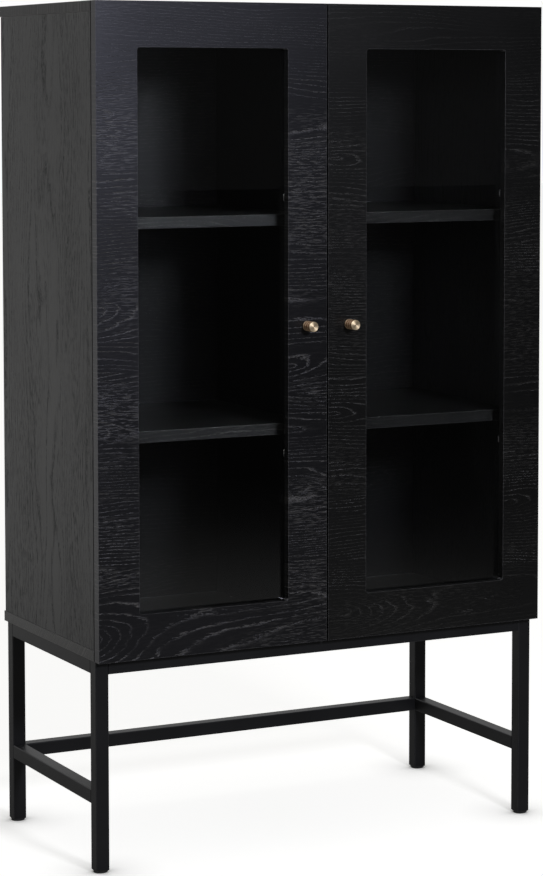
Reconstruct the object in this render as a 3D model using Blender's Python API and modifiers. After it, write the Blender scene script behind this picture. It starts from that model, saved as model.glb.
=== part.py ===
"""Two-door glass display cabinet on a square-tube steel stand.

Metres, +Z up, front toward -Y. The origin is on the floor, under the centre of the bounding box.
A black oak-veneered case is parted by a centre divider, and each half holds two shelves on pins. Each
full-overlay door is a board with a glazed window, hung on three concealed cup hinges. The stand is welded
square tube with a U of low stretchers.
"""
import math

import bmesh
import bpy

# Overall sizes
WIDTH = 0.900
CASE_HEIGHT = 1.150
STAND_HEIGHT = 0.378
CASE_DEPTH = 0.450          # door front to the rear edge of the top panel
TOUCH = 0.0003              # gap kept between pieces that touch

# Boards
BOARD = 0.019
BACK_BOARD = 0.006
SHELF_BOARD = 0.0205
BOARD_EDGE = 0.0007         # radius of a board's worn arris
DOOR_GAP = 0.0035           # between a door's back and the case
MEETING_GAP = 0.003         # between the two doors
REAR_LAP = 0.0065           # top and bottom panels pass the side panels by this much
BACK_INSET = 0.010          # the back panel's edge, in from the side panel's outer face

# Doors
STILE_WIDTH = 0.078         # board left beside each window
RAIL_HEIGHT = 0.080         # board left above and below it
WINDOW_RADIUS = 0.005
REBATE_WIDTH = 0.008
GLASS = 0.004
GLASS_PLAY = 0.0005
CLIP_HEIGHT = 0.014
CLIP_WIDTH = 0.020
CLIP_THICKNESS = 0.0015
CLIP_LAP = 0.001            # how far a clip shows past the window's edge
CLIP_SPACING = 0.230        # above and below the door's middle

# Knobs
KNOB_RADIUS = 0.009
KNOB_LENGTH = 0.028
KNOB_FROM_CENTRE = 0.0425
GROOVE_DEPTH = 0.0011
GROOVE_WIDTH = 0.0016
GROOVE_PITCH = 0.0042
GROOVE_COUNT = 3
FIRST_GROOVE = 0.0065       # from the knob's base
SCREW_RADIUS = 0.002
SCREW_HEAD_RADIUS = 0.0045
SCREW_HEAD_HEIGHT = 0.0022
SCREW_HOLE_RADIUS = 0.0025

# Concealed hinges
HINGE_SPACING = 0.462       # above and below the door's middle
CUP_RADIUS = 0.0172
CUP_BORE_RADIUS = 0.0175
CUP_DEPTH = 0.0112
CUP_BORE_DEPTH = 0.0115
CUP_HOLLOW_RADIUS = 0.0155
CUP_FROM_EDGE = 0.0205
CUP_FLOOR = 0.0008
CUP_RIM = 0.0012            # how far the cup stands out of the door's back
EAR_WIDTH = 0.016
EAR_HEIGHT = 0.054
EAR_THICKNESS = 0.0009
PIVOT_FROM_EDGE = 0.007
PIVOT_DEPTH = 0.007         # into the door from its back face
PIVOT_RADIUS = 0.0012
HOOK_THICKNESS = 0.0018
HOOK_HEIGHT = 0.008
ARM_LENGTH = 0.047
ARM_HEIGHT = 0.014
ARM_DEPTH = 0.0115
WING_HEIGHT = 0.052
WING_LENGTH = 0.016
WING_THICKNESS = 0.0018

# Shelves and pins
SHELF_SETBACK = 0.045       # shelf front edge, behind the door front
SHELF_PLAY = 0.001
PIN_RADIUS = 0.0025
PIN_HOLE_RADIUS = 0.0028
PIN_HOLE_DEPTH = 0.010
PIN_COLLAR_RADIUS = 0.004
PIN_REACH = 0.009
PIN_INSET = 0.040           # pins, in from the shelf's front and rear edges

# Stand
TUBE = 0.025
TUBE_WALL = 0.0015
TUBE_CORNER = 0.002
STAND_SIDE_INSET = 0.003
STAND_REAR_INSET = 0.009
STRETCHER_TOP = 0.146
GLIDE_HEIGHT = 0.004
GLIDE_RADIUS = 0.0122
PLUG_HEIGHT = 0.016

ROUND_STEPS = 32
PIN_STEPS = 16

# Derived planes
DOOR_FRONT = KNOB_LENGTH - (CASE_DEPTH + KNOB_LENGTH) / 2
DOOR_BACK = DOOR_FRONT + BOARD
CASE_FRONT = DOOR_BACK + DOOR_GAP
REAR = DOOR_FRONT + CASE_DEPTH
SIDE_REAR = REAR - REAR_LAP
CASE_BOTTOM = STAND_HEIGHT + TOUCH
CASE_TOP = STAND_HEIGHT + CASE_HEIGHT
INNER_X = WIDTH / 2 - BOARD
FLOOR_TOP = CASE_BOTTOM + BOARD
CEILING = CASE_TOP - BOARD
DOOR_MIDDLE = (CASE_BOTTOM + CASE_TOP) / 2
DOOR_INNER_X = MEETING_GAP / 2
DOOR_WIDTH = WIDTH / 2 - DOOR_INNER_X
DOOR_CENTRE_X = DOOR_INNER_X + DOOR_WIDTH / 2
WINDOW_WIDTH = DOOR_WIDTH - 2 * STILE_WIDTH
WINDOW_HEIGHT = CASE_TOP - CASE_BOTTOM - 2 * RAIL_HEIGHT
GLASS_FRONT = DOOR_BACK - GLASS
PIVOT_X = WIDTH / 2 - PIVOT_FROM_EDGE
PIVOT_Y = DOOR_BACK - PIVOT_DEPTH
BAY = (CEILING - FLOOR_TOP - 2 * SHELF_BOARD) / 3

SIDES = (("left", -1), ("right", 1))
ENDS = ("front", "rear")


def clear_scene():
    for old in list(bpy.data.objects):
        bpy.data.objects.remove(old, do_unlink=True)


def new_collection(name):
    collection = bpy.data.collections.new(name)
    bpy.context.scene.collection.children.link(collection)
    return collection


def principled(name, colour, roughness, metallic=0.0, transmission=0.0):
    material = bpy.data.materials.new(name)
    material.use_nodes = True
    shader = material.node_tree.nodes["Principled BSDF"]
    shader.inputs["Base Color"].default_value = (*colour, 1.0)
    shader.inputs["Roughness"].default_value = roughness
    shader.inputs["Metallic"].default_value = metallic
    shader.inputs["Transmission Weight"].default_value = transmission
    return material


clear_scene()
CABINET = new_collection("display_cabinet")
CUTTERS = new_collection("cutters")
VENEER = principled("black_oak_veneer", (0.022, 0.022, 0.025), 0.42)
STEEL = principled("black_coated_steel", (0.012, 0.012, 0.013), 0.38)
BRASS = principled("brushed_brass", (0.62, 0.44, 0.22), 0.26, metallic=1.0)
PANE = principled("clear_glass", (0.85, 0.90, 0.90), 0.02, transmission=1.0)
NICKEL = principled("nickel_plate", (0.60, 0.60, 0.58), 0.25, metallic=1.0)
PLASTIC = principled("black_plastic", (0.010, 0.010, 0.010), 0.55)


def add_object(name, mesh, material, location, rotation=(0.0, 0.0, 0.0)):
    """Link a mesh as one sub-part. A cutter is a piece with no material."""
    piece = bpy.data.objects.new(name, mesh)
    piece.location = location
    piece.rotation_euler = rotation
    if material is None:
        CUTTERS.objects.link(piece)
        piece.hide_render = True
        piece.display_type = "WIRE"
    else:
        CABINET.objects.link(piece)
        if not mesh.materials:
            mesh.materials.append(material)
    return piece


def box_mesh(name, size, corner=0.0, corner_axis=1, steps=4):
    """A box about its centre. Its edges along one axis may be rounded."""
    form = bmesh.new()
    bmesh.ops.create_cube(form, size=1.0)
    bmesh.ops.scale(form, vec=size, verts=form.verts)
    if corner:
        along = [edge for edge in form.edges
                 if abs((edge.verts[0].co - edge.verts[1].co)[corner_axis]) > size[corner_axis] / 2]
        bmesh.ops.bevel(form, geom=along, offset=corner, segments=steps, profile=0.5, affect="EDGES")
    mesh = bpy.data.meshes.new(name)
    form.to_mesh(mesh)
    form.free()
    return mesh


def box(name, low, high, material, edge=0.0, corner=0.0, corner_axis=1):
    """A box between two corners, with its edges eased by a Bevel."""
    size = [b - a for a, b in zip(low, high)]
    centre = [(a + b) / 2 for a, b in zip(low, high)]
    piece = add_object(name, box_mesh(name, size, corner, corner_axis), material, centre)
    if edge:
        ease(piece, edge)
    return piece


def mirrored(side, low, high):
    """Corners of a box that is described on the right and may lie on the left."""
    if side > 0:
        return low, high
    return (-high[0], low[1], low[2]), (-low[0], high[1], high[2])


def ease(piece, width, steps=2):
    bevel = piece.modifiers.new("eased_edges", "BEVEL")
    bevel.width = width
    bevel.segments = steps
    bevel.limit_method = "ANGLE"
    bevel.angle_limit = math.radians(50)
    return bevel


def boolean(piece, other, operation="DIFFERENCE"):
    joiner = piece.modifiers.new(operation.lower(), "BOOLEAN")
    joiner.operation = operation
    joiner.solver = "EXACT"
    joiner.object = other


def cylinder_mesh(name, radius, length, steps):
    form = bmesh.new()
    bmesh.ops.create_cone(form, cap_ends=True, segments=steps, radius1=radius, radius2=radius, depth=length)
    mesh = bpy.data.meshes.new(name)
    form.to_mesh(mesh)
    form.free()
    return mesh


def cylinder(name, radius, start, end, material, steps=ROUND_STEPS):
    """A round bar between two points that share two coordinates."""
    axis = max(range(3), key=lambda i: abs(end[i] - start[i]))
    length = abs(end[axis] - start[axis])
    centre = [(a + b) / 2 for a, b in zip(start, end)]
    quarter = math.pi / 2
    rotation = [(0.0, quarter, 0.0), (quarter, 0.0, 0.0), (0.0, 0.0, 0.0)][axis]
    return add_object(name, cylinder_mesh(name, radius, length, steps), material, centre, rotation)


def turned_mesh(name, profile):
    """An outline of (radius, height) points, from the top of the axis down to its bottom."""
    mesh = bpy.data.meshes.new(name)
    links = [(i, i + 1) for i in range(len(profile) - 1)]
    mesh.from_pydata([(radius, 0.0, height) for radius, height in profile], links, [])
    return mesh


def turned(name, mesh, material, location, rotation, steps):
    piece = add_object(name, mesh, material, location, rotation)
    screw = piece.modifiers.new("turned", "SCREW")
    screw.axis = "Z"
    screw.steps = steps
    screw.render_steps = steps
    screw.use_merge_vertices = True
    screw.merge_threshold = 0.00001
    screw.use_smooth_shade = True
    return piece


def hang_on(empty, pieces):
    """Parent pieces to an empty without moving them."""
    for piece in pieces:
        piece.parent = empty
        piece.location = piece.location - empty.location


# Case
def make_case():
    half = WIDTH / 2
    for name, bottom in (("bottom_panel", CASE_BOTTOM), ("top_panel", CEILING)):
        box(name, (-half, CASE_FRONT, bottom), (half, REAR, bottom + BOARD), VENEER, BOARD_EDGE)
    low_z, high_z = FLOOR_TOP + TOUCH, CEILING - TOUCH
    for side_name, side in SIDES:
        low, high = mirrored(side, (INNER_X, CASE_FRONT, low_z), (half, SIDE_REAR, high_z))
        panel = box(f"{side_name}_side_panel", low, high, VENEER, BOARD_EDGE)
        drill_pin_holes(panel, side_name, side)
    divider = box("centre_divider", (-BOARD / 2, CASE_FRONT, low_z), (BOARD / 2, SIDE_REAR, high_z), VENEER,
                  BOARD_EDGE)
    for place, y, z in pin_places("middle"):
        hole = cylinder(f"cut_pin_{place}", PIN_HOLE_RADIUS, (-BOARD, y, z), (BOARD, y, z), None, PIN_STEPS)
        boolean(divider, hole)
    back_half = half - BACK_INSET
    box("back_panel", (-back_half, SIDE_REAR + TOUCH, low_z), (back_half, REAR, high_z), VENEER)


# Shelves, each on four turned pins. The divider's pins pass through it and carry the shelves on both sides.
def shelf_levels():
    """Underside heights of the two levels of shelves, with equal bays between them."""
    lower = FLOOR_TOP + BAY
    return (("lower", lower), ("upper", lower + SHELF_BOARD + BAY))


def shelf_depths():
    return DOOR_FRONT + SHELF_SETBACK, SIDE_REAR - SHELF_PLAY


def pin_places(side):
    """Name, centre y and centre z of each pin in one upright panel."""
    front, rear = shelf_depths()
    for level, underside in shelf_levels():
        for end, y in (("front", front + PIN_INSET), ("rear", rear - PIN_INSET)):
            yield f"{level}_{side}_{end}", y, underside - TOUCH - PIN_RADIUS


def drill_pin_holes(panel, side_name, side):
    """Blind holes from the panel's inner face. Each cutter also stands out of that face."""
    for place, y, z in pin_places(side_name):
        outside, end = side * (INNER_X - PIN_HOLE_DEPTH), side * (INNER_X + PIN_HOLE_DEPTH)
        hole = cylinder(f"cut_pin_{place}", PIN_HOLE_RADIUS, (outside, y, z), (end, y, z), None, PIN_STEPS)
        boolean(panel, hole)


def pin_end():
    """Outline of a pin's free end and collar, from the tip back to the face that it stands on."""
    collar = SHELF_PLAY - TOUCH
    return [(0.0, PIN_REACH), (PIN_RADIUS, PIN_REACH), (PIN_RADIUS, collar), (PIN_COLLAR_RADIUS, collar),
            (PIN_COLLAR_RADIUS, TOUCH), (PIN_RADIUS, TOUCH)]


def make_pins():
    stem = PIN_HOLE_DEPTH - 0.001
    mesh = turned_mesh("shelf_pin", pin_end() + [(PIN_RADIUS, -stem), (0.0, -stem)])
    for side_name, side in SIDES:
        for place, y, z in pin_places(side_name):
            turned(f"shelf_pin_{place}", mesh, NICKEL, (side * INNER_X, y, z),
                   (0.0, -side * math.pi / 2, 0.0), PIN_STEPS)
    half = [(radius, BOARD / 2 + height) for radius, height in pin_end()]
    mesh = turned_mesh("through_pin", half + [(radius, -height) for radius, height in reversed(half)])
    for place, y, z in pin_places("middle"):
        turned(f"shelf_pin_{place}", mesh, NICKEL, (0.0, y, z), (0.0, math.pi / 2, 0.0), PIN_STEPS)


def make_shelves():
    front, rear = shelf_depths()
    for side_name, side in SIDES:
        for level, underside in shelf_levels():
            low, high = mirrored(side, (BOARD / 2 + SHELF_PLAY, front, underside),
                                 (INNER_X - SHELF_PLAY, rear, underside + SHELF_BOARD))
            box(f"{side_name}_{level}_shelf", low, high, VENEER, BOARD_EDGE)


# Doors
def make_door_frame(side_name, side):
    low, high = mirrored(side, (DOOR_INNER_X, DOOR_FRONT, CASE_BOTTOM), (WIDTH / 2, DOOR_BACK, CASE_TOP))
    frame = box(f"{side_name}_door_frame", low, high, VENEER)
    centre = side * DOOR_CENTRE_X
    past = 0.01
    for name, grow, front in (("window", 0.0, DOOR_FRONT - past), ("rebate", REBATE_WIDTH, GLASS_FRONT)):
        half_x = WINDOW_WIDTH / 2 + grow
        half_z = WINDOW_HEIGHT / 2 + grow
        hole = box(f"cut_{side_name}_{name}", (centre - half_x, front, DOOR_MIDDLE - half_z),
                   (centre + half_x, DOOR_BACK + past, DOOR_MIDDLE + half_z), None, corner=WINDOW_RADIUS)
        boolean(frame, hole)
    ease(frame, BOARD_EDGE)
    cup_x = side * (WIDTH / 2 - CUP_FROM_EDGE)
    for level, z in hinge_levels():
        bore = cylinder(f"cut_{side_name}_cup_{level}", CUP_BORE_RADIUS,
                        (cup_x, DOOR_BACK - CUP_BORE_DEPTH, z), (cup_x, DOOR_BACK + past, z), None)
        boolean(frame, bore)
    knob_x = side * KNOB_FROM_CENTRE
    hole = cylinder(f"cut_{side_name}_knob_hole", SCREW_HOLE_RADIUS,
                    (knob_x, DOOR_FRONT - past, DOOR_MIDDLE), (knob_x, DOOR_BACK + past, DOOR_MIDDLE), None,
                    PIN_STEPS)
    boolean(frame, hole)
    return frame


def make_glass(side_name, side):
    """The pane lies in the rebate behind the window, flush with the door's back."""
    half_x = WINDOW_WIDTH / 2 + REBATE_WIDTH - GLASS_PLAY
    half_z = WINDOW_HEIGHT / 2 + REBATE_WIDTH - GLASS_PLAY
    centre = side * DOOR_CENTRE_X
    return box(f"{side_name}_glass_pane", (centre - half_x, GLASS_FRONT + TOUCH, DOOR_MIDDLE - half_z),
               (centre + half_x, DOOR_BACK, DOOR_MIDDLE + half_z), PANE, corner=WINDOW_RADIUS - GLASS_PLAY)


def make_clips(side_name, side):
    """Flat clips on the hinge stile, which lap the glass and just show past the window's edge."""
    clips = []
    start = DOOR_CENTRE_X + WINDOW_WIDTH / 2 - CLIP_LAP
    back = DOOR_BACK + TOUCH
    for level, z in (("lower", DOOR_MIDDLE - CLIP_SPACING), ("upper", DOOR_MIDDLE + CLIP_SPACING)):
        low, high = mirrored(side, (start, back, z - CLIP_HEIGHT / 2),
                             (start + CLIP_WIDTH, back + CLIP_THICKNESS, z + CLIP_HEIGHT / 2))
        clips.append(box(f"{side_name}_glass_clip_{level}", low, high, NICKEL, corner=0.003))
    return clips


def knob_profile():
    """Face at the top, three turned grooves near the base, and a screw whose head is behind the door."""
    bevel = 0.0008
    outline = [(0.0, KNOB_LENGTH), (KNOB_RADIUS - bevel, KNOB_LENGTH), (KNOB_RADIUS, KNOB_LENGTH - bevel)]
    body = KNOB_RADIUS - 0.0004
    last = FIRST_GROOVE + (GROOVE_COUNT - 1) * GROOVE_PITCH + GROOVE_WIDTH
    outline += [(KNOB_RADIUS, last + 0.0026), (body, last + 0.0022)]
    for number in reversed(range(GROOVE_COUNT)):
        bottom = FIRST_GROOVE + number * GROOVE_PITCH
        top = bottom + GROOVE_WIDTH
        slope = GROOVE_WIDTH / 4
        outline += [(body, top), (body - GROOVE_DEPTH, top - slope), (body - GROOVE_DEPTH, bottom + slope),
                    (body, bottom)]
    head = -BOARD - TOUCH
    head_end = head - SCREW_HEAD_HEIGHT
    outline += [(body, TOUCH + 0.0004), (body - 0.0004, TOUCH), (SCREW_RADIUS, TOUCH), (SCREW_RADIUS, head),
                (SCREW_HEAD_RADIUS, head), (SCREW_HEAD_RADIUS, head_end + 0.0007),
                (SCREW_HEAD_RADIUS - 0.0009, head_end), (0.0, head_end)]
    return outline


# Concealed hinges: a cup let into the door, and an arm on the side panel whose hook meets the cup's pin
def hinge_levels():
    return (("bottom", DOOR_MIDDLE - HINGE_SPACING), ("middle", DOOR_MIDDLE),
            ("top", DOOR_MIDDLE + HINGE_SPACING))


def make_cup(side_name, side, level, z):
    name = f"{side_name}_hinge_cup_{level}"
    x = side * (WIDTH / 2 - CUP_FROM_EDGE)
    mouth = DOOR_BACK + CUP_RIM
    cup = cylinder(name, CUP_RADIUS, (x, DOOR_BACK - CUP_DEPTH, z), (x, mouth, z), NICKEL)
    ears = box(f"join_{name}_ears", (x - EAR_WIDTH / 2, mouth - EAR_THICKNESS, z - EAR_HEIGHT / 2),
               (x + EAR_WIDTH / 2, mouth, z + EAR_HEIGHT / 2), None, corner=0.006)
    hollow = cylinder(f"cut_{name}_hollow", CUP_HOLLOW_RADIUS, (x, DOOR_BACK - CUP_DEPTH + CUP_FLOOR, z),
                      (x, mouth + 0.01, z), None)
    reach = 0.0088
    pin = cylinder(f"join_{name}_pin", PIVOT_RADIUS, (side * PIVOT_X, PIVOT_Y, z - reach),
                   (side * PIVOT_X, PIVOT_Y, z + reach), None, PIN_STEPS)
    boolean(cup, ears, "UNION")
    boolean(cup, hollow)
    boolean(cup, pin, "UNION")
    return cup


def hook_path(side):
    """The hook's centre line in plan: from beside the pivot pin, back through the cup, and into the arm.

    Its elbow keeps half a millimetre clear of the cup's rim at every angle of the door.
    """
    beside_pin = PIVOT_RADIUS + 0.0006
    elbow, shoulder = (0.0103, -0.00195), (0.015, 0.011)
    run_x = INNER_X - 0.004
    points = [(PIVOT_X - beside_pin, PIVOT_Y - 0.0003), (PIVOT_X - elbow[0], PIVOT_Y + elbow[1]),
              (PIVOT_X - shoulder[0], PIVOT_Y + shoulder[1]), (run_x, CASE_FRONT + 0.006),
              (run_x, CASE_FRONT + 0.024)]
    return [(side * x, y) for x, y in points]


def make_arm(side_name, side, level, z):
    """A mounting wing and arm body on the side panel, joined to the sheet-metal hook."""
    name = f"{side_name}_hinge_arm_{level}"
    wall = INNER_X - TOUCH
    body_front = CASE_FRONT + 0.021
    low, high = mirrored(side, (wall - WING_THICKNESS - ARM_DEPTH, body_front, z - ARM_HEIGHT / 2),
                         (wall - WING_THICKNESS / 2, body_front + ARM_LENGTH, z + ARM_HEIGHT / 2))
    arm = box(name, low, high, NICKEL, edge=0.0012)
    wing_y = CASE_FRONT + 0.037
    low, high = mirrored(side, (wall - WING_THICKNESS, wing_y - WING_LENGTH / 2, z - WING_HEIGHT / 2),
                         (wall, wing_y + WING_LENGTH / 2, z + WING_HEIGHT / 2))
    wing = box(f"join_{name}_wing", low, high, None, corner=0.005, corner_axis=0)
    hook_mesh = bpy.data.meshes.new(f"{name}_hook")
    form = bmesh.new()
    low_row = [form.verts.new((x, y, z - HOOK_HEIGHT / 2)) for x, y in hook_path(side)]
    edges = [form.edges.new(pair) for pair in zip(low_row, low_row[1:])]
    grown = bmesh.ops.extrude_edge_only(form, edges=edges)["geom"]
    top_row = [item for item in grown if isinstance(item, bmesh.types.BMVert)]
    bmesh.ops.translate(form, vec=(0.0, 0.0, HOOK_HEIGHT), verts=top_row)
    form.to_mesh(hook_mesh)
    form.free()
    hook = add_object(f"join_{name}_hook", hook_mesh, None, (0.0, 0.0, 0.0))
    sheet = hook.modifiers.new("sheet", "SOLIDIFY")
    sheet.thickness = HOOK_THICKNESS
    sheet.offset = 0.0
    sheet.use_even_offset = True
    boolean(arm, wing, "UNION")
    boolean(arm, hook, "UNION")


def make_doors():
    knob_mesh = turned_mesh("knob", knob_profile())
    for side_name, side in SIDES:
        axis = bpy.data.objects.new(f"{side_name}_door_axis", None)
        axis.location = (side * PIVOT_X, PIVOT_Y, CASE_BOTTOM)
        CABINET.objects.link(axis)
        pieces = [make_door_frame(side_name, side), make_glass(side_name, side)]
        pieces += make_clips(side_name, side)
        place = (side * KNOB_FROM_CENTRE, DOOR_FRONT, DOOR_MIDDLE)
        knob = turned(f"{side_name}_knob", knob_mesh, BRASS, place, (math.pi / 2, 0.0, 0.0), ROUND_STEPS)
        pieces.append(knob)
        for level, z in hinge_levels():
            pieces.append(make_cup(side_name, side, level, z))
            make_arm(side_name, side, level, z)
        bpy.context.view_layer.update()
        hang_on(axis, pieces)


# Stand
def square_tube(name, start, end):
    """A hollow square tube between two points on its centre line, which share two coordinates."""
    axis = max(range(3), key=lambda i: abs(end[i] - start[i]))
    size = [TUBE] * 3
    size[axis] = abs(end[axis] - start[axis])
    mesh = box_mesh(name, size, TUBE_CORNER, axis, steps=3)
    form = bmesh.new()
    form.from_mesh(mesh)
    ends = [face for face in form.faces if abs(face.normal[axis]) > 0.9]
    bmesh.ops.delete(form, geom=ends, context="FACES_ONLY")
    form.to_mesh(mesh)
    form.free()
    centre = [(a + b) / 2 for a, b in zip(start, end)]
    tube = add_object(name, mesh, STEEL, centre)
    wall = tube.modifiers.new("wall", "SOLIDIFY")
    wall.thickness = TUBE_WALL
    wall.offset = -1.0
    wall.use_even_offset = True
    return tube


def make_glide(place, x, y):
    """A round foot under a square plug that fits inside the leg."""
    half = TUBE / 2 - TUBE_WALL - TOUCH
    plug_top = GLIDE_HEIGHT + PLUG_HEIGHT
    glide = box(f"{place}_glide", (x - half, y - half, GLIDE_HEIGHT / 2), (x + half, y + half, plug_top),
                PLASTIC, corner=TUBE_CORNER, corner_axis=2)
    foot = cylinder(f"join_{place}_foot", GLIDE_RADIUS, (x, y, 0.0), (x, y, GLIDE_HEIGHT), None)
    boolean(glide, foot, "UNION")


def make_stand():
    """Legs up to the case, a ring of top rails between them, and stretchers on all sides but the front."""
    leg_x = WIDTH / 2 - STAND_SIDE_INSET - TUBE / 2
    leg_y = {"front": CASE_FRONT + TUBE / 2, "rear": REAR - STAND_REAR_INSET - TUBE / 2}
    inner = TUBE / 2 + TOUCH
    rail_z = STAND_HEIGHT - TUBE / 2
    stretcher_z = STRETCHER_TOP - TUBE / 2
    for side_name, side in SIDES:
        x = side * leg_x
        for end in ENDS:
            place = f"{side_name}_{end}"
            square_tube(f"{place}_leg", (x, leg_y[end], GLIDE_HEIGHT + TOUCH), (x, leg_y[end], STAND_HEIGHT))
            make_glide(place, x, leg_y[end])
        for name, z in (("top_rail", rail_z), ("stretcher", stretcher_z)):
            square_tube(f"{side_name}_{name}", (x, leg_y["front"] + inner, z), (x, leg_y["rear"] - inner, z))
    for name, end, z in (("front_top_rail", "front", rail_z), ("rear_top_rail", "rear", rail_z),
                         ("rear_stretcher", "rear", stretcher_z)):
        square_tube(name, (-leg_x + inner, leg_y[end], z), (leg_x - inner, leg_y[end], z))


def shade_round_pieces():
    for piece in CABINET.objects:
        if piece.type == "MESH" and any(word in piece.name for word in ("knob", "pin_", "hinge")):
            piece.data.shade_smooth()
            piece.data.set_sharp_from_angle(angle=math.radians(35))


make_case()
make_shelves()
make_pins()
make_doors()
make_stand()
shade_round_pieces()
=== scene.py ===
"""Looks of the two-door display cabinet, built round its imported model. Metres, +Z up, front toward -Y."""
import math

import bmesh
import bpy
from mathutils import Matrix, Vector


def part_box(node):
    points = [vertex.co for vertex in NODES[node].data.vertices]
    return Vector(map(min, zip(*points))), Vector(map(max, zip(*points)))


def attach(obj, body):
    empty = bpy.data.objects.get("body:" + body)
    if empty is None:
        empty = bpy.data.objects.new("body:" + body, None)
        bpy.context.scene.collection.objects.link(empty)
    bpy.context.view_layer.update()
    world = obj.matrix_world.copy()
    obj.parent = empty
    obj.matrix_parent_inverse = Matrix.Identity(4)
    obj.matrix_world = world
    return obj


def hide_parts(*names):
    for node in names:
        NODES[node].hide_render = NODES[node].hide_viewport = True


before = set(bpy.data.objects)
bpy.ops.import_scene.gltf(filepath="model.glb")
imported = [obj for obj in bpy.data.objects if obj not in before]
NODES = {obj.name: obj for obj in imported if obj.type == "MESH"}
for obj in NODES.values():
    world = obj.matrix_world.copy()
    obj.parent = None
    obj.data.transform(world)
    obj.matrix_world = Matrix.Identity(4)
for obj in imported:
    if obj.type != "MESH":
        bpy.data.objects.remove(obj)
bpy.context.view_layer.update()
SIDES = (("left", -1), ("right", 1))
LEVELS = ("bottom", "middle", "top")
X, Y, Z = 0, 1, 2
DOOR_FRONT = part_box("left_door_frame")[0][Y]
CASE_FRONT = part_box("left_side_panel")[0][Y]
KNOB_LENGTH = DOOR_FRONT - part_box("left_knob")[0][Y]
KNOB_RADIUS = 0.009


# Shader building
def add_node(tree, kind, inputs=None, **settings):
    """A shader node. An input is a value or the socket that feeds it."""
    made = tree.nodes.new(kind)
    for key, value in settings.items():
        setattr(made, key, value)
    for key, value in (inputs or {}).items():
        if isinstance(value, bpy.types.NodeSocket):
            tree.links.new(value, made.inputs[key])
        else:
            made.inputs[key].default_value = value
    return made


def maths(tree, operation, *values, clamp=False):
    inputs = dict(enumerate(values))
    return add_node(tree, "ShaderNodeMath", inputs, operation=operation, use_clamp=clamp).outputs[0]


def remap(tree, value, low, high, to_low=0.0, to_high=1.0, smooth=False):
    inputs = {0: value, 1: low, 2: high, 3: to_low, 4: to_high}
    kind = "SMOOTHSTEP" if smooth else "LINEAR"
    return add_node(tree, "ShaderNodeMapRange", inputs, interpolation_type=kind).outputs[0]


def noise(tree, vector, scale, detail=2.0, roughness=0.5):
    inputs = {"Vector": vector, "Scale": scale, "Detail": detail, "Roughness": roughness}
    return add_node(tree, "ShaderNodeTexNoise", inputs).outputs["Fac"]


def mix_colour(tree, factor, first, second):
    made = add_node(tree, "ShaderNodeMix", {"Factor": factor}, data_type="RGBA")
    for index, colour in ((6, first), (7, second)):
        if isinstance(colour, bpy.types.NodeSocket):
            tree.links.new(colour, made.inputs[index])
        else:
            made.inputs[index].default_value = (*colour, 1.0)
    return made.outputs[2]


def mix_values(tree, factor, first, second):
    return add_node(tree, "ShaderNodeMix", {0: factor, 2: first, 3: second}, data_type="FLOAT").outputs[0]


def combine(tree, x, y, z):
    return add_node(tree, "ShaderNodeCombineXYZ", {0: x, 1: y, 2: z}).outputs[0]


def split(tree, vector):
    return list(add_node(tree, "ShaderNodeSeparateXYZ", {0: vector}).outputs)


def scaled(colour, factor):
    return [part * factor for part in colour]


def new_material(name):
    material = bpy.data.materials.new(name)
    material.use_nodes = True
    tree = material.node_tree
    return material, tree, tree.nodes["Principled BSDF"]


def object_axes(tree):
    place = add_node(tree, "ShaderNodeTexCoord").outputs["Object"]
    return place, split(tree, place)


def add_bump(tree, shader, height, strength, distance):
    bump = add_node(tree, "ShaderNodeBump", {"Height": height, "Strength": strength, "Distance": distance})
    tree.links.new(bump.outputs[0], shader.inputs["Normal"])


# Painted highlight on the outer corners of boards and tubes: a lighter colour that stands in for the light
# their edges catch
EDGE_HIGHLIGHT_REACH = 0.0014
ROUNDED = (0.02, 0.16)      # how far the rounded normal leans from the flat one, from no painted highlight to full painted highlight
CHAMFERED = (0.97, 0.85)    # the normal's largest part, from no painted highlight to full painted highlight
NOISE_MIDDLE = (0.3, 0.7)   # the range that most of a noise lies in


def painted_edge_highlight(tree):
    """Where the painted edge highlight goes: 1 on the chamfers and outer corners of a board or a tube, and 0
    on its flat faces.
    """
    turned = add_node(tree, "ShaderNodeBevel", {"Radius": EDGE_HIGHLIGHT_REACH}, samples=6).outputs[0]
    flat = add_node(tree, "ShaderNodeNewGeometry").outputs["Normal"]
    facing = add_node(tree, "ShaderNodeVectorMath", {0: turned, 1: flat}, operation="DOT_PRODUCT")
    lean = maths(tree, "SUBTRACT", 1.0, facing.outputs["Value"])
    corner = remap(tree, lean, *ROUNDED, smooth=True)
    parts = split(tree, add_node(tree, "ShaderNodeTexCoord").outputs["Normal"])
    largest = maths(tree, "ABSOLUTE", parts[X])
    for axis in (Y, Z):
        largest = maths(tree, "MAXIMUM", largest, maths(tree, "ABSOLUTE", parts[axis]))
    return maths(tree, "MAXIMUM", corner, remap(tree, largest, *CHAMFERED))


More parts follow.
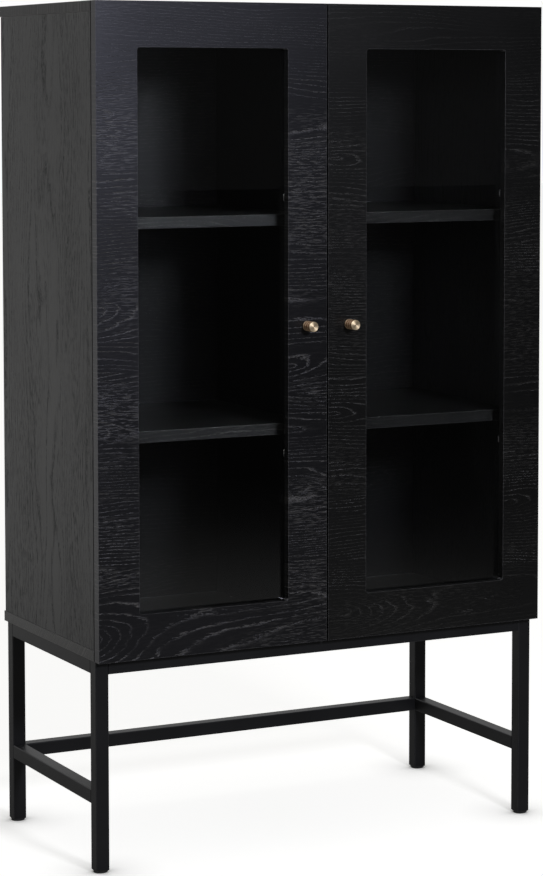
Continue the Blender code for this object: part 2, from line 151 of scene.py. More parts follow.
# Oak veneer. Each noise has its counts per metre along and across the grain, and its own offset
LEAN = (3.2, 9.0, 2.2)
LEAN_REACH = 0.03
SWELL = (1.4, 9.0, 0.0)
SWELL_RINGS = 14.0
WANDER = (14.0, 90.0, 3.1)
STROKES = (110.0, 700.0, 5.3)
WANDER_RINGS = 0.8
QUIET = (4.0, 22.0, 7.7)
BUSY = (2.0, 8.0, 1.9)
STRAY = (60.0, 520.0, 9.4)
FIBRES = (25.0, 1500.0, 0.0)
PATCHES = 3.1
RING = 0.0068               # between growth rings, across the sheet
LEAF_SHIFT = 0.37           # rings that one leaf of veneer is out of step with the next
BAND_RISE = (0.0, 0.05)     # the open pores' band at the start of each ring, in shares of the ring
BAND_FALL = (0.08, 0.19)
PORE_MASK = (0.38, 0.58, 0.15, 1.0)
QUIET_MASK = (0.38, 0.58, 0.30, 1.0)
BUSY_MASK = (0.42, 0.60, 0.08, 0.75)
STRAY_MASK = (0.50, 0.66)
STRAY_SHARE = 0.6
STAIN = (0.0041, 0.0040, 0.0038)
PORE_LIGHT = (0.102, 0.097, 0.088)
PATCH_LIFT = 1.3
FIBRE_LIFT = 1.8
FIBRE_SHARE = 0.3
FIBRE_RELIEF = 0.18
VENEER_BUMP = 0.0003
# Painted highlight on the edges: its colour, its share and its breakup along the strokes
EDGE_HIGHLIGHT_COLOUR = (0.20, 0.195, 0.195)
EDGE_HIGHLIGHT_SHARE = 0.8
EDGE_HIGHLIGHT_BREAKUP = (0.40, 0.62, 0.4, 1.0)
GLOSS_PATCH = (-0.02, 0.03)
HARDBOARD = ((0.022, 0.021, 0.020), (0.050, 0.048, 0.046))
HARDBOARD_SKIN = 0.0005


def stretched(tree, u, v, figure, seed, detail=2.0, roughness=0.5):
    """Noise drawn out along the grain."""
    along, across, offset = figure
    drawn_u, drawn_v = maths(tree, "MULTIPLY", u, along), maths(tree, "MULTIPLY", v, across)
    return noise(tree, combine(tree, drawn_u, drawn_v, seed + offset), 1.0, detail, roughness)


def leaf_rings(tree, u, v, heart):
    """Distance of a point from the heart of its leaf of veneer, drawn out into arches along the grain."""
    at_u, at_v, width, taper, facing = heart
    dv = maths(tree, "SUBTRACT", v, at_v)
    near = maths(tree, "EXPONENT", maths(tree, "MULTIPLY", maths(tree, "POWER", dv, 2.0), -1.0 / width ** 2))
    run = maths(tree, "MULTIPLY", maths(tree, "SUBTRACT", u, at_u), facing * taper / width)
    depth = maths(tree, "MULTIPLY", maths(tree, "TANH", maths(tree, "MAXIMUM", run, 0.0)), width)
    depth = maths(tree, "MULTIPLY", maths(tree, "POWER", depth, 2.0), near)
    away = maths(tree, "ADD", maths(tree, "POWER", dv, 2.0), depth)
    return maths(tree, "ABSOLUTE", dv), maths(tree, "SQRT", away)


def ring_count(tree, u, v, hearts, ring):
    """Growth rings across the sheet, counted from the nearest heart, or straight where there is none."""
    if not hearts:
        return maths(tree, "DIVIDE", v, ring)
    nearest, rings = leaf_rings(tree, u, v, hearts[0])
    for heart in hearts[1:]:
        away, others = leaf_rings(tree, u, v, heart)
        closer = maths(tree, "LESS_THAN", away, nearest)
        rings = mix_values(tree, closer, rings, maths(tree, "ADD", others, LEAF_SHIFT * ring))
        nearest = maths(tree, "MINIMUM", away, nearest)
    return maths(tree, "DIVIDE", rings, ring)


def open_pores(tree, u, v, seed, hearts, ring):
    """How open the pores are at each point, from 0 to about 1, and the fine strokes that break them up."""
    lean = maths(tree, "SUBTRACT", stretched(tree, u, v, LEAN, seed, 1.0), 0.5)
    leaning = maths(tree, "ADD", v, maths(tree, "MULTIPLY", lean, LEAN_REACH))
    strokes = stretched(tree, u, v, STROKES, seed, roughness=0.6)
    rings = ring_count(tree, u, leaning, hearts, ring)
    for shift, count in ((stretched(tree, u, v, SWELL, seed, 1.0), SWELL_RINGS),
                         (stretched(tree, u, v, WANDER, seed), WANDER_RINGS), (strokes, WANDER_RINGS)):
        rings = maths(tree, "ADD", rings, maths(tree, "MULTIPLY", shift, count))
    phase = maths(tree, "FRACT", rings)
    rise = remap(tree, phase, *BAND_RISE, smooth=True)
    band = maths(tree, "MULTIPLY", rise, remap(tree, phase, *BAND_FALL, 1.0, 0.0, smooth=True))
    broken = remap(tree, strokes, *PORE_MASK, smooth=True)
    quiet = remap(tree, stretched(tree, u, v, QUIET, seed), *QUIET_MASK, smooth=True)
    busy = remap(tree, stretched(tree, u, v, BUSY, seed), *BUSY_MASK, smooth=True)
    stray = remap(tree, stretched(tree, u, v, STRAY, seed), *STRAY_MASK, smooth=True)
    pores = maths(tree, "MULTIPLY", maths(tree, "MULTIPLY", band, broken), quiet)
    between = maths(tree, "MULTIPLY", stray, maths(tree, "MULTIPLY", busy, STRAY_SHARE))
    return maths(tree, "ADD", pores, between), strokes


def oak_veneer(name, along, across, seed, hearts=(), ring=RING, marks=1.0, roughness=0.31, relief=0.9,
               dark=STAIN, light=PORE_LIGHT, specular=0.5, tint=(1.0, 1.0, 1.0), dulling=0.08, plain=None,
               outside=None):
    """Open-pored oak veneer stained black, with its grain along one axis and its figure across another, and
    a painted highlight along its edges.

    Marks is the pores' strength, plain the heights between which they fade and what is left of them, and
    outside the place of a bare hardboard back.
    """
    material, tree, shader = new_material(name)
    place, axes = object_axes(tree)
    u, v = axes[along], axes[across]
    if not hearts:
        v = maths(tree, "ADD", v, axes[X + Y + Z - along - across])
    pores, strokes = open_pores(tree, u, v, seed, hearts, ring)
    pores = maths(tree, "MULTIPLY", pores, marks, clamp=True)
    if plain:
        fade_from, fade_to, left_over = plain
        fade = remap(tree, v, fade_from, fade_to, 1.0, left_over, smooth=True)
        pores = maths(tree, "MULTIPLY", pores, fade)
    fibres = stretched(tree, u, v, FIBRES, seed)
    patch = noise(tree, place, PATCHES)
    ground = mix_colour(tree, remap(tree, patch, *NOISE_MIDDLE), dark, scaled(dark, PATCH_LIFT))
    ground = mix_colour(tree, maths(tree, "MULTIPLY", fibres, FIBRE_SHARE), ground, scaled(dark, FIBRE_LIFT))
    # Painted highlight: the edges are made lighter, broken up by the strokes, in place of the light they
    # catch
    edge_glint = maths(tree, "MULTIPLY", painted_edge_highlight(tree), remap(tree, strokes, *EDGE_HIGHLIGHT_BREAKUP))
    surface = mix_colour(tree, pores, ground, light)
    surface = mix_colour(tree, maths(tree, "MULTIPLY", edge_glint, EDGE_HIGHLIGHT_SHARE), surface, EDGE_HIGHLIGHT_COLOUR)
    if outside:
        outer = remap(tree, axes[Y], outside - HARDBOARD_SKIN, outside)
        surface = mix_colour(tree, outer, surface, mix_colour(tree, fibres, *HARDBOARD))
    tree.links.new(surface, shader.inputs["Base Color"])
    shader.inputs["Specular IOR Level"].default_value = specular
    shader.inputs["Specular Tint"].default_value = (*tint, 1.0)
    shader.inputs["IOR"].default_value = 1.5
    gloss = maths(tree, "ADD", remap(tree, pores, 0.0, 1.0, roughness, roughness + dulling),
                  remap(tree, patch, *NOISE_MIDDLE, *GLOSS_PATCH))
    tree.links.new(gloss, shader.inputs["Roughness"])
    height = maths(tree, "SUBTRACT", maths(tree, "MULTIPLY", fibres, FIBRE_RELIEF), pores)
    add_bump(tree, shader, height, relief, VENEER_BUMP)
    return material


# The other materials. Patches, grain, peel and film are noise counts per metre
STEEL_PATCHES, STEEL_GRAIN, STEEL_PEEL = 9.0, 900.0, 320.0
# Breakup of the painted edge highlight on the steel
STEEL_EDGE_HIGHLIGHT_BREAKUP = (0.45, 0.62, 0.15, 0.7)
STEEL_BUMP = 0.00015
PLATE_PATCHES = 60.0
SCRATCHES = (1500.0, 1500.0, 60.0)
PLATE_BUMP = 0.00005
BRASS_PATCHES = 120.0
BRASS_RINGS, BRASS_LENGTHWISE = 4000.0, 2500.0
BRASS_POLISHED = ((0.95, 0.79, 0.56), (0.87, 0.68, 0.44))
BRASS_TARNISHED = (0.24, 0.105, 0.05)
BRASS_ROUGHNESS = (0.48, 0.58)
BRASS_BUMP = 0.00004
TARNISH_START, TARNISH_FULL = 0.0012, 0.0022    # behind the knob's face
RIM_WORN, RIM_TARNISHED = 0.0002, 0.0006        # in from the knob's rim
RIM_SHARE = 0.45
GLASS_FILM = 14.0
PLASTIC_PATCHES, PLASTIC_GRAIN = 40.0, 1400.0
PLASTIC_BUMP = 0.0001


def coated_steel(name, colour, roughness):
    """Satin powder coat: a fine orange peel, a scatter of finer grain, slow changes in tone and a painted
    highlight along its edges.
    """
    material, tree, shader = new_material(name)
    place, _ = object_axes(tree)
    patch = noise(tree, place, STEEL_PATCHES, detail=3.0)
    grain = noise(tree, place, STEEL_GRAIN)
    peel = noise(tree, place, STEEL_PEEL, detail=1.0)
    coat = mix_colour(tree, remap(tree, patch, *NOISE_MIDDLE), colour, scaled(colour, 1.5))
    # Painted highlight: the edges are made seven times lighter, broken up by the grain, in place of the
    # light they catch
    edge_glint = maths(tree, "MULTIPLY", painted_edge_highlight(tree), remap(tree, grain, *STEEL_EDGE_HIGHLIGHT_BREAKUP))
    tree.links.new(mix_colour(tree, edge_glint, coat, scaled(colour, 7.0)), shader.inputs["Base Color"])
    gloss = remap(tree, grain, *NOISE_MIDDLE, roughness - 0.05, roughness + 0.08)
    tree.links.new(gloss, shader.inputs["Roughness"])
    shader.inputs["Specular IOR Level"].default_value = 0.27
    add_bump(tree, shader, maths(tree, "ADD", peel, maths(tree, "MULTIPLY", grain, 0.35)), 0.25, STEEL_BUMP)
    return material


def plated_metal(name, colour, roughness):
    """Nickel plate with fine upright scratches and slow changes in tone."""
    material, tree, shader = new_material(name)
    place, axes = object_axes(tree)
    drawn_out = [maths(tree, "MULTIPLY", axis, count) for axis, count in zip(axes, SCRATCHES)]
    scratches = noise(tree, combine(tree, *drawn_out), 1.0)
    patch = remap(tree, noise(tree, place, PLATE_PATCHES), *NOISE_MIDDLE)
    shader.inputs["Metallic"].default_value = 1.0
    tree.links.new(mix_colour(tree, patch, colour, scaled(colour, 0.86)), shader.inputs["Base Color"])
    gloss = remap(tree, scratches, *NOISE_MIDDLE, roughness - 0.06, roughness + 0.1)
    tree.links.new(gloss, shader.inputs["Roughness"])
    add_bump(tree, shader, scratches, 0.15, PLATE_BUMP)
    return material


def turned_brass(name):
    """Lathe-turned brass, polished on the face and tarnished behind it.

    The fine rings left by the lathe pull each highlight into a band across the face.
    """
    material, tree, shader = new_material(name)
    place, axes = object_axes(tree)
    shader.inputs["Metallic"].default_value = 1.0
    shader.inputs["Anisotropic"].default_value = 0.75
    shader.inputs["Anisotropic Rotation"].default_value = 0.25
    patch = remap(tree, noise(tree, place, BRASS_PATCHES, detail=3.0), *NOISE_MIDDLE)
    squares = [maths(tree, "POWER", axes[axis], 2.0) for axis in (X, Y)]
    radius = maths(tree, "SQRT", maths(tree, "ADD", *squares))
    behind = remap(tree, axes[Z], KNOB_LENGTH - TARNISH_START, KNOB_LENGTH - TARNISH_FULL)
    inward = remap(tree, radius, KNOB_RADIUS - RIM_WORN, KNOB_RADIUS - RIM_TARNISHED, RIM_SHARE, 1.0)
    tarnish = maths(tree, "MULTIPLY", behind, inward)
    polished = mix_colour(tree, patch, *BRASS_POLISHED)
    tree.links.new(mix_colour(tree, tarnish, polished, BRASS_TARNISHED), shader.inputs["Base Color"])
    outward = maths(tree, "MULTIPLY", radius, BRASS_RINGS)
    lengthwise = maths(tree, "MULTIPLY", axes[Z], BRASS_LENGTHWISE)
    rings = noise(tree, combine(tree, outward, lengthwise, 0.0), 1.0)
    tree.links.new(remap(tree, rings, *NOISE_MIDDLE, *BRASS_ROUGHNESS), shader.inputs["Roughness"])
    add_bump(tree, shader, rings, 0.25, BRASS_BUMP)
    tangent = add_node(tree, "ShaderNodeTangent", direction_type="RADIAL", axis="Z")
    tree.links.new(tangent.outputs[0], shader.inputs["Tangent"])
    return material


def clear_glass(name):
    """Float glass with a faint film in places. Lamps shine straight through it."""
    material, tree, shader = new_material(name)
    place, _ = object_axes(tree)
    shader.inputs["Base Color"].default_value = (0.96, 0.975, 0.97, 1.0)
    shader.inputs["Transmission Weight"].default_value = 1.0
    shader.inputs["IOR"].default_value = 1.5
    film = noise(tree, place, GLASS_FILM, detail=3.0)
    tree.links.new(remap(tree, film, 0.45, 0.75, 0.0, 0.02), shader.inputs["Roughness"])
    path = add_node(tree, "ShaderNodeLightPath")
    through = add_node(tree, "ShaderNodeBsdfTransparent", {"Color": (0.93, 0.945, 0.945, 1.0)})
    lighting = maths(tree, "MAXIMUM", path.outputs["Is Shadow Ray"], path.outputs["Is Diffuse Ray"])
    both = {0: lighting, 1: shader.outputs[0], 2: through.outputs[0]}
    glazing = add_node(tree, "ShaderNodeMixShader", both)
    tree.links.new(glazing.outputs[0], tree.nodes["Material Output"].inputs["Surface"])
    return material


def moulded_plastic(name, colour):
    """Matt plastic with a fine moulded grain."""
    material, tree, shader = new_material(name)
    place, _ = object_axes(tree)
    patch = noise(tree, place, PLASTIC_PATCHES)
    tree.links.new(mix_colour(tree, patch, colour, scaled(colour, 1.6)), shader.inputs["Base Color"])
    shader.inputs["Roughness"].default_value = 0.55
    add_bump(tree, shader, noise(tree, place, PLASTIC_GRAIN), 0.3, PLASTIC_BUMP)
    return material


def dress(node, material):
    """Give a carried-over CAD node its finish."""
    mesh = NODES[node].data
    mesh.materials.clear()
    mesh.materials.append(material)


# Hearts of the figure: where the arches end along and across the grain, half width, taper and facing
LEFT_HEARTS = ((-0.470, 1.330, 0.030, 0.25, 1.0), (-0.452, 0.990, 0.026, 0.36, 1.0),
               (-0.456, 0.780, 0.022, 0.40, 1.0), (-0.075, 0.880, 0.024, 0.30, 1.0),
               (-0.060, 0.660, 0.034, 0.32, 1.0), (-0.470, 0.425, 0.070, 0.50, 1.0))
RIGHT_HEARTS = ((0.020, 1.250, 0.032, 0.30, 1.0), (0.010, 0.790, 0.030, 0.35, 1.0),
                (0.380, 0.930, 0.030, 0.38, 1.0), (0.385, 0.610, 0.040, 0.40, 1.0),
                (0.030, 0.430, 0.055, 0.40, 1.0))
TOP_HEARTS = ((-0.30, -0.09, 0.040, 0.15, 1.0), (0.10, 0.10, 0.045, 0.20, -1.0))
PLAIN_TOP = (1.28, 1.45, 0.35)
# The two doors are lit and shaded copies of one veneer. The left door has more of the pale pore marks and a
# bluish specular tint, a painted bluish reflection. The right door has fewer pale marks and less specular,
# painted shade.
LEFT_DOOR_LIT_LOOK = {"marks": 0.88, "roughness": 0.30, "tint": (0.88, 0.88, 1.0), "plain": PLAIN_TOP}
RIGHT_DOOR_SHADED_LOOK = {"marks": 0.34, "roughness": 0.29, "specular": 0.42, "plain": PLAIN_TOP}
SIDE_LOOK = {"ring": 0.018, "marks": 1.5, "roughness": 0.43, "relief": 0.6, "specular": 0.72,
             "dulling": 0.45, "light": (0.010, 0.010, 0.010)}
INNER_LOOK = {"marks": 0.18, "roughness": 0.38, "relief": 0.4, "specular": 0.25,
              "dark": (0.0032, 0.0032, 0.0035)}
BACK_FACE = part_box("back_panel")[1][Y]
VENEERS = {
    "left_door_frame": oak_veneer("veneer_left_door_lit", X, Z, 11.3, LEFT_HEARTS, **LEFT_DOOR_LIT_LOOK),
    "right_door_frame": oak_veneer("veneer_right_door_shaded", X, Z, 29.6, RIGHT_HEARTS, **RIGHT_DOOR_SHADED_LOOK),
    "left_side_panel": oak_veneer("veneer_left_side", Z, Y, 4.2, **SIDE_LOOK),
    "right_side_panel": oak_veneer("veneer_right_side", Z, Y, 17.9, **SIDE_LOOK),
    "top_panel": oak_veneer("veneer_top", X, Y, 41.0, TOP_HEARTS, specular=0.27),
    "bottom_panel": oak_veneer("veneer_bottom", X, Y, 47.5),
    "back_panel": oak_veneer("veneer_back", X, Z, 71.4, outside=BACK_FACE, **INNER_LOOK),
    "centre_divider": oak_veneer("veneer_divider", Z, Y, 83.7, **INNER_LOOK),
}
# The shelves are lit and shaded copies of one veneer: the right ones have fewer pale pore marks and less
# specular, painted shade.
SHELF_VENEERS = {
    "left": oak_veneer("veneer_left_shelves_lit", X, Y, 53.2, marks=0.7, relief=0.8),
    "right": oak_veneer("veneer_right_shelves_shaded", X, Y, 61.8, marks=0.25, relief=0.8, specular=0.35),
}
STEEL = coated_steel("black_powder_coat", (0.0085, 0.0085, 0.0092), 0.40)
NICKEL = plated_metal("nickel_plate", (0.66, 0.65, 0.62), 0.24)
BRASS = turned_brass("turned_brass")
GLASS = clear_glass("float_glass")
PLASTIC = moulded_plastic("black_plastic", (0.010, 0.010, 0.010))

for node in NODES:
    if node in VENEERS:
        dress(node, VENEERS[node])
    elif node.endswith("shelf"):
        dress(node, SHELF_VENEERS[node.split("_")[0]])
    elif node.endswith("glass_pane"):
        dress(node, GLASS)
    elif node.endswith("_knob"):
        dress(node, BRASS)
    elif node.endswith("glide"):
        dress(node, PLASTIC)
    elif any(word in node for word in ("hinge", "clip", "pin_")):
        dress(node, NICKEL)
    else:
        dress(node, STEEL)


# Turned and stamped pieces
SMOOTH_ANGLE = 35.0
KNOB_FIRST_GROOVE = 0.0055  # from the knob's face to the first groove's middle
KNOB_PITCH = 0.0072
KNOB_GROOVE = 0.0046
KNOB_GROOVE_DEPTH = 0.0014
KNOB_GROOVES = 3
GROOVE_SHAPE = ((0.0, 0.5), (1.0, 0.14), (1.0, -0.10), (0.0, -0.5))  # shares of the depth and the width
KNOB_GAP = 0.0003
KNOB_STEP = 0.0012
KNOB_ROUNDING = 0.0004
KNOB_SHANK = 0.002
PAN_RADIUS = 0.0045
PAN_HEIGHT = 0.0022
PAN_EDGE = 0.0009
PAN_FLAT = 0.7              # share of the pan head's radius that is flat
PAN_RECESS = 0.0012
PAN_RECESS_DEPTH = 0.001
NICKEL_START = -0.001       # behind the door's front face, where the brass ends
SCREW_HEIGHT = 0.45         # of the head's radius
SCREW_OUTLINE = ((0.0, 0.45), (0.22, 0.45), (0.26, 1.0), (0.62, 0.9), (1.0, 0.25), (1.0, 0.0), (0.0, 0.0))
SCREW_ROUNDING = 0.12
CLIP_SCREW = 0.0028
CLIP_SCREW_SHIFT = 0.004    # from the clip's middle, away from the pane
CLIP_CORNER = 0.003
CLIP_EASE = 0.0003
SHARP_EDGE = 1.2            # radians
PANE_MARGIN = 0.008         # how far a clip laps the pane's edge
HINGE_SCREW = 0.0034
EAR_SCREW = 0.0215
WING_THICKNESS = 0.0018
WING_FROM_FRONT = 0.037
WING_SCREW = 0.0185


def turned_piece(name, outline, material, steps=96):
    """A solid of revolution about local Z. The outline gives the radius and height of each corner."""
    made = bmesh.new()
    loops = []
    for radius, height in outline:
        if radius == 0.0:
            loops.append([made.verts.new((0.0, 0.0, height))])
            continue
        turns = [2.0 * math.pi * i / steps for i in range(steps)]
        loops.append([made.verts.new((radius * math.cos(a), radius * math.sin(a), height)) for a in turns])
    for first, second in zip(loops, loops[1:]):
        for i in range(steps):
            corners = [first[i % len(first)], second[i % len(second)], second[(i + 1) % len(second)],
                       first[(i + 1) % len(first)]]
            made.faces.new(list(dict.fromkeys(corners)))
    bmesh.ops.recalc_face_normals(made, faces=made.faces)
    return finished(name, made, material)


def finished(name, made, material):
    """An object from the built mesh, smooth but for its sharper edges."""
    mesh = bpy.data.meshes.new(name)
    made.to_mesh(mesh)
    made.free()
    mesh.materials.append(material)
    mesh.shade_smooth()
    piece = bpy.data.objects.new(name, mesh)
    bpy.context.scene.collection.objects.link(piece)
    mesh.set_sharp_from_angle(angle=math.radians(SMOOTH_ANGLE))
    return piece


def rounded(outline, rounding, steps=3):
    """The outline with each inner corner cut by a small arc."""
    result = [outline[0]]
    for before, corner, after in zip(outline, outline[1:], outline[2:]):
        corner, before, after = Vector(corner), Vector(before), Vector(after)
        reach = min(rounding, (before - corner).length * 0.45, (after - corner).length * 0.45)
        start = corner + (before - corner).normalized() * reach
        end = corner + (after - corner).normalized() * reach
        for i in range(steps + 1):
            s = i / steps
            result.append(tuple(start * (1 - s) ** 2 + corner * 2 * s * (1 - s) + end * s ** 2))
    result.append(outline[-1])
    return [(max(radius, 0.0), height) for radius, height in result]


def turned_knob(side_name):
    """Brass knob with three turned grooves, its shank through the door and its pan head behind."""
    low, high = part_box(f"{side_name}_knob")
    outline = [(0.0, KNOB_LENGTH), (KNOB_RADIUS, KNOB_LENGTH)]
    for groove in range(KNOB_GROOVES):
        centre = KNOB_LENGTH - KNOB_FIRST_GROOVE - groove * KNOB_PITCH
        outline += [(KNOB_RADIUS - depth * KNOB_GROOVE_DEPTH, centre + reach * KNOB_GROOVE)
                    for depth, reach in GROOVE_SHAPE]
    foot = KNOB_LENGTH - KNOB_FIRST_GROOVE - KNOB_GROOVES * KNOB_PITCH
    neck = KNOB_RADIUS - KNOB_STEP
    head_end = DOOR_FRONT - high[Y]
    head = head_end + PAN_HEIGHT
    outline += [(KNOB_RADIUS, foot + KNOB_STEP), (neck, foot), (neck, KNOB_GAP), (KNOB_SHANK, KNOB_GAP),
                (KNOB_SHANK, head), (PAN_RADIUS, head), (PAN_RADIUS, head_end + PAN_EDGE),
                (PAN_RADIUS * PAN_FLAT, head_end), (PAN_RECESS, head_end),
                (PAN_RECESS, head_end + PAN_RECESS_DEPTH), (0.0, head_end + PAN_RECESS_DEPTH)]
    knob = turned_piece(f"{side_name}_turned_knob", rounded(outline, KNOB_ROUNDING), BRASS)
    knob.data.materials.append(NICKEL)
    for face in knob.data.polygons:
        if face.center.z < NICKEL_START:
            face.material_index = 1
    knob.location = ((low[X] + high[X]) / 2, DOOR_FRONT, (low[Z] + high[Z]) / 2)
    knob.rotation_euler = (math.pi / 2, 0.0, 0.0)
    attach(knob, f"{side_name}_door")
    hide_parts(f"{side_name}_knob")


def screw_head(name, place, facing, radius, body):
    """Domed screw head with a round recess, facing along one direction."""
    outline = [(radius * across, radius * SCREW_HEIGHT * up) for across, up in SCREW_OUTLINE]
    head = turned_piece(name, rounded(outline, radius * SCREW_ROUNDING, 2), NICKEL, steps=32)
    head.location = place
    head.rotation_mode = "QUATERNION"
    head.rotation_quaternion = Vector(facing).to_track_quat("Z", "Y")
    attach(head, body)


def inner_clip(side_name, side, level):
    """Stamped clip with rounded corners that holds the pane along the stile where the doors meet."""
    low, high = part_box(f"{side_name}_glass_clip_{level}")
    pane_low, pane_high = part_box(f"{side_name}_glass_pane")
    end = side * (min(abs(pane_low[X]), abs(pane_high[X])) + PANE_MARGIN)
    size = [above - below for below, above in zip(low, high)]
    centre = (end - side * size[X] / 2, (low[Y] + high[Y]) / 2, (low[Z] + high[Z]) / 2)
    made = bmesh.new()
    bmesh.ops.create_cube(made, size=1.0)
    bmesh.ops.scale(made, vec=size, verts=made.verts)
    corners = [edge for edge in made.edges if abs(edge.verts[0].co.y - edge.verts[1].co.y) > size[Y] / 2]
    bmesh.ops.bevel(made, geom=corners, offset=CLIP_CORNER, segments=4, profile=0.5, affect="EDGES")
    sharp = [edge for edge in made.edges if edge.calc_face_angle() > SHARP_EDGE]
    bmesh.ops.bevel(made, geom=sharp, offset=CLIP_EASE, segments=1, affect="EDGES")
    clip = finished(f"{side_name}_inner_clip_{level}", made, NICKEL)
    clip.location = centre
    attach(clip, f"{side_name}_door")
    place = (centre[X] - side * CLIP_SCREW_SHIFT, high[Y], centre[Z])
    screw_head(f"{side_name}_inner_clip_screw_{level}", place, (0, 1, 0), CLIP_SCREW, f"{side_name}_door")


def outer_clip_screw(side_name, side, level):
    """Screw of the CAD clip on the hinge stile."""
    low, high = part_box(f"{side_name}_glass_clip_{level}")
    place = ((low[X] + high[X]) / 2 + side * CLIP_SCREW_SHIFT, high[Y], (low[Z] + high[Z]) / 2)
    screw_head(f"{side_name}_outer_clip_screw_{level}", place, (0, 1, 0), CLIP_SCREW, f"{side_name}_door")


def hinge_screws(side_name, side, level):
    """Two screws through each cup's ears and two through each arm's wing."""
    door = f"{side_name}_door"
    cup_low, cup_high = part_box(f"{side_name}_hinge_cup_{level}")
    cup_x, cup_z = (cup_low[X] + cup_high[X]) / 2, (cup_low[Z] + cup_high[Z]) / 2
    arm_low, arm_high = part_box(f"{side_name}_hinge_arm_{level}")
    wing_x = side * (max(abs(arm_low[X]), abs(arm_high[X])) - WING_THICKNESS)
    arm_z = (arm_low[Z] + arm_high[Z]) / 2
    for end, up in (("low", -1), ("high", 1)):
        on_ear = (cup_x, cup_high[Y], cup_z + up * EAR_SCREW)
        screw_head(f"{side_name}_cup_screw_{level}_{end}", on_ear, (0, 1, 0), HINGE_SCREW, door)
        on_wing = (wing_x, CASE_FRONT + WING_FROM_FRONT, arm_z + up * WING_SCREW)
        screw_head(f"{side_name}_arm_screw_{level}_{end}", on_wing, (-side, 0, 0), HINGE_SCREW, "case")


for side_name, side in SIDES:
    turned_knob(side_name)
    for level in ("lower", "upper"):
        inner_clip(side_name, side, level)
        outer_clip_screw(side_name, side, level)
    for level in LEVELS:
        hinge_screws(side_name, side, level)


# Stage. Brightness is for what lights and reflects; the camera itself sees white
FLOOR_SIZE = 60.0
FLOOR_GLOW = 0.83
FLOOR_ALBEDO = (0.84, 0.82, 0.74)
FLOOR_BOUNCE = 0.20
FLOOR_END, FLOOR_START = -4.1, -0.2     # the floor in front, from dark to full bounce
FLOOR_RIGHT = (0.8, 2.2, 1.0, 0.30)     # places along X, and the bounce that is left there
FLOOR_REAR = (0.4, 3.0, 0.0, 0.32)      # places along Y, and the bounce added there
SHADE = 0.20
SHADE_REACH = 0.6
CONTACT_SHADE = 0.85
CONTACT_REACH = 0.11
CONTACT_OPEN = 0.4
WORLD_FRONT = 0.031
WORLD_BEHIND = 0.44
WORLD_ABOVE = 0.9
WORLD_LEFT = 0.6
WORLD_SOFT_LOW, WORLD_SOFT_HIGH = 1.6, 0.12
WORLD_SOFT_FRONT = 0.35
# Ranges of the view direction's parts over which the surroundings change
TO_BEHIND = (-0.05, 0.35)
TO_ABOVE = (0.15, 0.85)
ABOVE_FROM_FRONT = (-0.5, 0.3, 0.25, 1.0)
TO_LEFT = (-0.15, -0.55)
LEFT_IN_FRONT = (0.0, -0.2)
SOFT_RISE = (0.0, 0.4)
SOFT_FROM_FRONT = (-0.6, 0.2)
SOFTBOX_PLACE = (0.14, -3.85, 2.09)
SOFTBOX_TARGET = (0.0, -0.2, 1.2)
SOFTBOX_SIZE = (0.6, 0.6)
SOFTBOX_RADIANCE = 62.0
SOFTBOX_COLOUR = (0.86, 0.885, 1.0)
CAMERA_AZIMUTH = 27.575
CAMERA_PITCH = 4.368
CAMERA_PLACE = (-2.3141, -4.5626, 1.3743)
CAMERA_LENS = 113.0
CAMERA_SHIFT = (-0.0407, -0.1575)


def unreflected(tree, own_bounces):
    """1 for what is seen directly or straight through glass, and 0 for what lights or reflects."""
    path = add_node(tree, "ShaderNodeLightPath")
    others = maths(tree, "SUBTRACT", path.outputs["Ray Depth"], path.outputs["Transmission Depth"])
    return maths(tree, "LESS_THAN", others, own_bounces + 0.5)


def make_floor():
    """A white studio floor with soft shade round the feet.

    What the floor gives back to the cabinet fades out in front and at the right, where the studio is dark,
    and grows behind.
    """
    bpy.ops.mesh.primitive_plane_add(size=FLOOR_SIZE, location=(0.0, 0.0, 0.0))
    floor = bpy.context.object
    floor.name = "studio_floor"
    material, tree, shader = new_material("pale_floor")
    _, axes = object_axes(tree)
    reach = remap(tree, axes[Y], FLOOR_END, FLOOR_START, WORLD_FRONT, FLOOR_BOUNCE, smooth=True)
    reach = maths(tree, "MULTIPLY", reach, remap(tree, axes[X], *FLOOR_RIGHT, smooth=True))
    reach = maths(tree, "ADD", reach, remap(tree, axes[Y], *FLOOR_REAR, smooth=True))
    white = maths(tree, "MAXIMUM", unreflected(tree, 0), reach)
    tree.links.new(mix_colour(tree, white, (0.0, 0.0, 0.0), FLOOR_ALBEDO), shader.inputs["Base Color"])
    shader.inputs["Roughness"].default_value = 0.9
    shader.inputs["Specular IOR Level"].default_value = 0.0
    shader.inputs["Emission Color"].default_value = (1.0, 1.0, 1.0, 1.0)
    open_sky = add_node(tree, "ShaderNodeAmbientOcclusion", {"Distance": SHADE_REACH}, samples=12)
    near = add_node(tree, "ShaderNodeAmbientOcclusion", {"Distance": CONTACT_REACH}, samples=8)
    shade = maths(tree, "MULTIPLY", remap(tree, open_sky.outputs["AO"], 0.0, 1.0, 1.0 - SHADE, 1.0),
                  remap(tree, near.outputs["AO"], CONTACT_OPEN, 1.0, 1.0 - CONTACT_SHADE, 1.0))
    glow = maths(tree, "MULTIPLY", maths(tree, "MULTIPLY", white, FLOOR_GLOW), shade)
    tree.links.new(glow, shader.inputs["Emission Strength"])
    floor.data.materials.append(material)


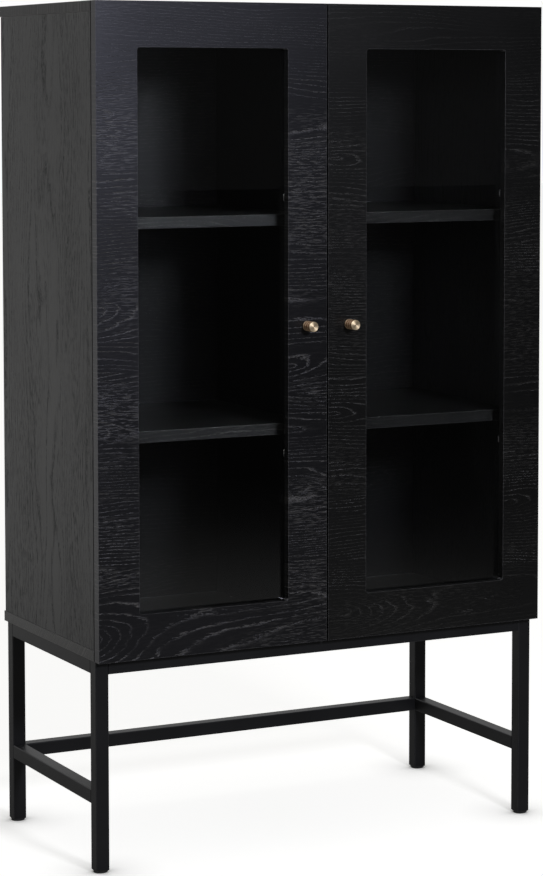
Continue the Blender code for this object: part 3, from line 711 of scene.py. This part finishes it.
def make_world():
    """A studio that is pale behind, above and at the left, and dark in front. The camera sees it white."""
    world = bpy.data.worlds.new("studio")
    bpy.context.scene.world = world
    world.cycles.sampling_method = "NONE"
    world.use_nodes = True
    tree = world.node_tree
    dx, dy, dz = split(tree, add_node(tree, "ShaderNodeTexCoord").outputs["Generated"])
    behind = remap(tree, dy, *TO_BEHIND, WORLD_FRONT, WORLD_BEHIND, smooth=True)
    above = remap(tree, dz, *TO_ABOVE, 0.0, WORLD_ABOVE, smooth=True)
    above = maths(tree, "MULTIPLY", above, remap(tree, dy, *ABOVE_FROM_FRONT, smooth=True))
    beside = remap(tree, dx, *TO_LEFT, 0.0, WORLD_LEFT, smooth=True)
    beside = maths(tree, "MULTIPLY", beside, remap(tree, dy, *LEFT_IN_FRONT, smooth=True))
    sharp = maths(tree, "ADD", behind, maths(tree, "ADD", above, beside))
    soft = remap(tree, dz, *SOFT_RISE, WORLD_SOFT_LOW, WORLD_SOFT_HIGH)
    toward_front = remap(tree, dy, *SOFT_FROM_FRONT, WORLD_SOFT_FRONT, 1.0, smooth=True)
    soft = maths(tree, "MULTIPLY", soft, toward_front)
    diffuse = add_node(tree, "ShaderNodeLightPath").outputs["Is Diffuse Ray"]
    lit = mix_values(tree, diffuse, sharp, soft)
    background = tree.nodes["Background"]
    background.inputs["Color"].default_value = (1.0, 1.0, 1.0, 1.0)
    tree.links.new(maths(tree, "MAXIMUM", unreflected(tree, 1), lit), background.inputs["Strength"])


def make_softbox():
    """The one lamp, in front of the cabinet and above its top."""
    light = bpy.data.lights.new("front_softbox", "AREA")
    light.shape = "RECTANGLE"
    light.size, light.size_y = SOFTBOX_SIZE
    light.energy = SOFTBOX_RADIANCE * math.pi * light.size * light.size_y
    light.color = SOFTBOX_COLOUR
    box = bpy.data.objects.new("front_softbox", light)
    bpy.context.scene.collection.objects.link(box)
    box.location = SOFTBOX_PLACE
    box.rotation_mode = "QUATERNION"
    box.rotation_quaternion = (Vector(SOFTBOX_TARGET) - Vector(SOFTBOX_PLACE)).to_track_quat("-Z", "Y")
    box.visible_camera = False


def make_camera():
    """Left of the front, a little below the top, and looking slightly down."""
    camera = bpy.data.objects.new("camera", bpy.data.cameras.new("camera"))
    bpy.context.scene.collection.objects.link(camera)
    azimuth, pitch = math.radians(CAMERA_AZIMUTH), math.radians(CAMERA_PITCH)
    camera.location = CAMERA_PLACE
    camera.rotation_mode = "QUATERNION"
    level = math.cos(pitch)
    forward = Vector((math.sin(azimuth) * level, math.cos(azimuth) * level, -math.sin(pitch)))
    camera.rotation_quaternion = forward.to_track_quat("-Z", "Y")
    camera.data.sensor_width = 36.0
    camera.data.lens = CAMERA_LENS
    camera.data.shift_x, camera.data.shift_y = CAMERA_SHIFT
    camera.data.clip_end = 200.0
    bpy.context.scene.camera = camera


make_floor()
make_world()
make_softbox()
make_camera()
bpy.context.scene.view_settings.view_transform = "Standard"
